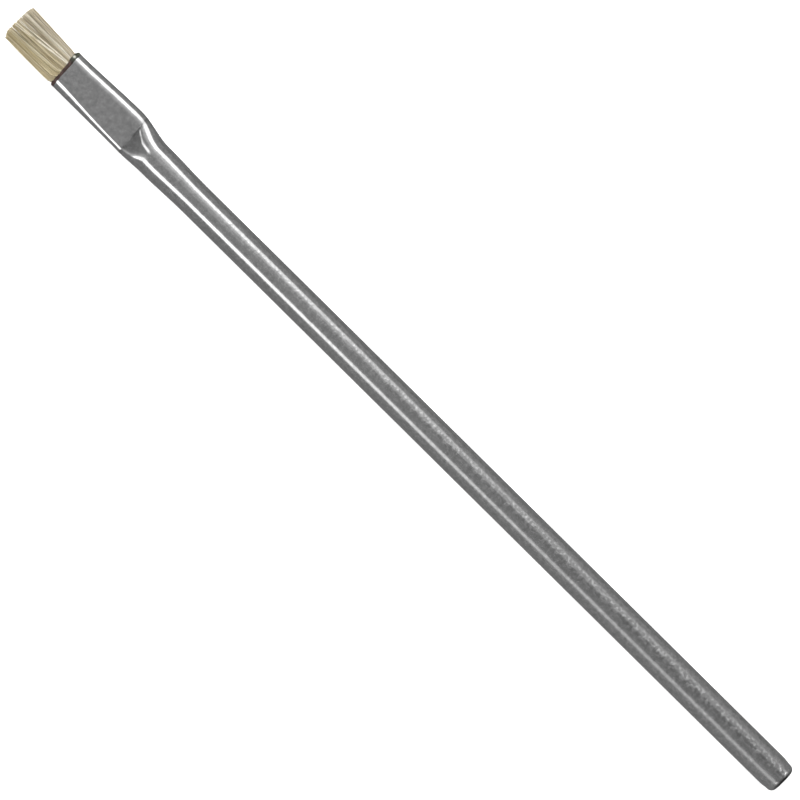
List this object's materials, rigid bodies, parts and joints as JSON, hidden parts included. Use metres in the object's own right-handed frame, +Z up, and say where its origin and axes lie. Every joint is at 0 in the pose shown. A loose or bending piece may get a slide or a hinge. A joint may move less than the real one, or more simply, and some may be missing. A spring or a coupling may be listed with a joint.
{
  "type": "anti-static brush",
  "caption": "Slim bench brush: hollow steel tube handle pressed flat at one end to hold a short trimmed tuft of stiff cream bristle set in dark resin.",
  "frame": {"origin": "on the surface that the brush lies on, midway along its length and under the axis of the round handle", "axes": "+X along the handle from the tuft to the open tail, +Z up out of the surface, square to the pressed flats"},
  "size_m": [0.146, 0.0061, 0.0048],
  "materials": {
    "zinc_steel": "bright zinc plating, satin, faintly mottled",
    "dark_resin": "dark red-brown setting resin",
    "bristle": "undyed cream bristle, trimmed square"
  },
  "bodies": {
    "root": {"handle_tube": "zinc_steel", "setting_resin": "dark_resin", "bristles": "bristle"}
  },
  "joints": []
}
